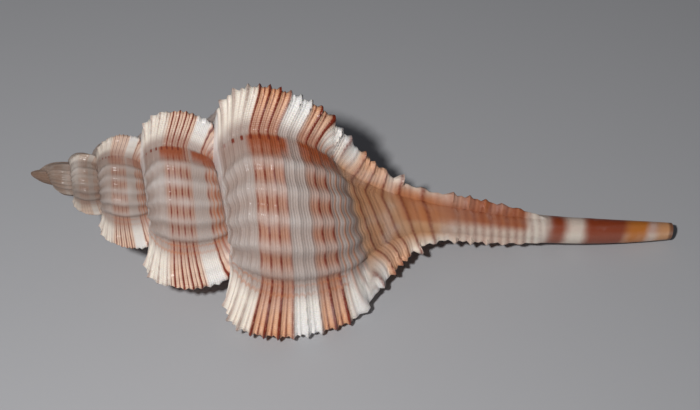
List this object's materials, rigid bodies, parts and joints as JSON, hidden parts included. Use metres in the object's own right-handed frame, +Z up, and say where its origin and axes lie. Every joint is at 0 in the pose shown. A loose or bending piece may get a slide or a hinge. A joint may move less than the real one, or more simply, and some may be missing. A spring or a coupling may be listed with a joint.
{
  "type": "murex shell",
  "caption": "Long-beaked murex shell: coiled spire, round body whorl with fin-like varices, and a long straight siphonal canal, lying mouth down.",
  "frame": {"origin": "under the middle of the shell, on the surface that it lies on", "axes": "+X from the apex towards the canal tip, +Z up from the surface, -Y towards the side of the outer lip"},
  "size_m": [0.0748, 0.0264, 0.023],
  "materials": {
    "shell": "semi-gloss limy shell: cream ground with orange-brown spiral bands and fine red-brown spiral lines, eroded grey on the spire"
  },
  "bodies": {
    "root": {"shell": "shell"}
  },
  "joints": []
}
